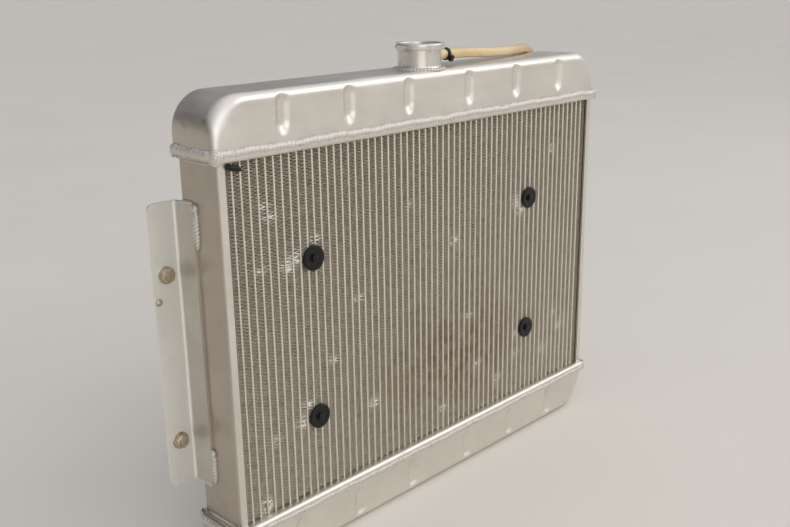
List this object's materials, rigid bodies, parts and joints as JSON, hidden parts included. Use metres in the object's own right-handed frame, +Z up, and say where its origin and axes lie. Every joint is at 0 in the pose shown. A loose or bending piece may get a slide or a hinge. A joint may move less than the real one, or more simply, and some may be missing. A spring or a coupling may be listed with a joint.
{
  "type": "aluminium engine radiator with electric fan",
  "caption": "Aluminium down-flow radiator with stamped tanks, open filler neck, overflow hose, bolt-on side angles and an electric puller fan behind the core.",
  "frame": {"origin": "centre of the four frame-bolt holes, on the rear face of the side angles' flanges", "axes": "+X to the right seen from the front, +Y to the rear (engine side), +Z up"},
  "size_m": [0.689, 0.152, 0.5385],
  "materials": {
    "tank_aluminium": "satin",
    "header_aluminium": "satin",
    "weld_aluminium": "bright weld",
    "channel_aluminium": "mill",
    "angle_aluminium": "mill",
    "tube_aluminium": "dull",
    "fin_aluminium": "dusty",
    "neck_aluminium": "satin",
    "hose_brass": "dull",
    "hose_vinyl": "aged clear",
    "tie_plastic": "moulded",
    "fan_plastic": "moulded",
    "motor_paint": "satin black",
    "foam_rubber": "open foam"
  },
  "bodies": {
    "radiator": {"core_tubes": "tube_aluminium", "core_fins": "fin_aluminium", "core_side_plates": "tube_aluminium", "top_header": "header_aluminium", "bottom_header": "header_aluminium", "top_tank": "tank_aluminium", "bottom_tank": "tank_aluminium", "weld_beads": "weld_aluminium", "side_channel_left": "channel_aluminium", "side_channel_right": "channel_aluminium", "side_angle_left": "angle_aluminium", "side_angle_right": "angle_aluminium", "filler_neck": "neck_aluminium", "overflow_nipple": "hose_brass", "overflow_hose": "hose_vinyl", "hose_tie": "tie_plastic", "inlet_neck": "neck_aluminium", "outlet_neck": "neck_aluminium", "drain_cock": "hose_brass", "fan_shroud": "fan_plastic", "fan_motor": "motor_paint", "fan_ties": "tie_plastic", "fan_tie_locks": "tie_plastic", "fan_pads": "foam_rubber"},
    "fan": {"fan_hub": "fan_plastic", "fan_blades": "fan_plastic"}
  },
  "joints": [
    {"name": "fan_spin", "type": "hinge", "parent": "radiator", "child": "fan", "pos_m": [-0.01005, 0.012, 0.002], "axis": [0, 1, 0], "continuous": true}
  ]
}
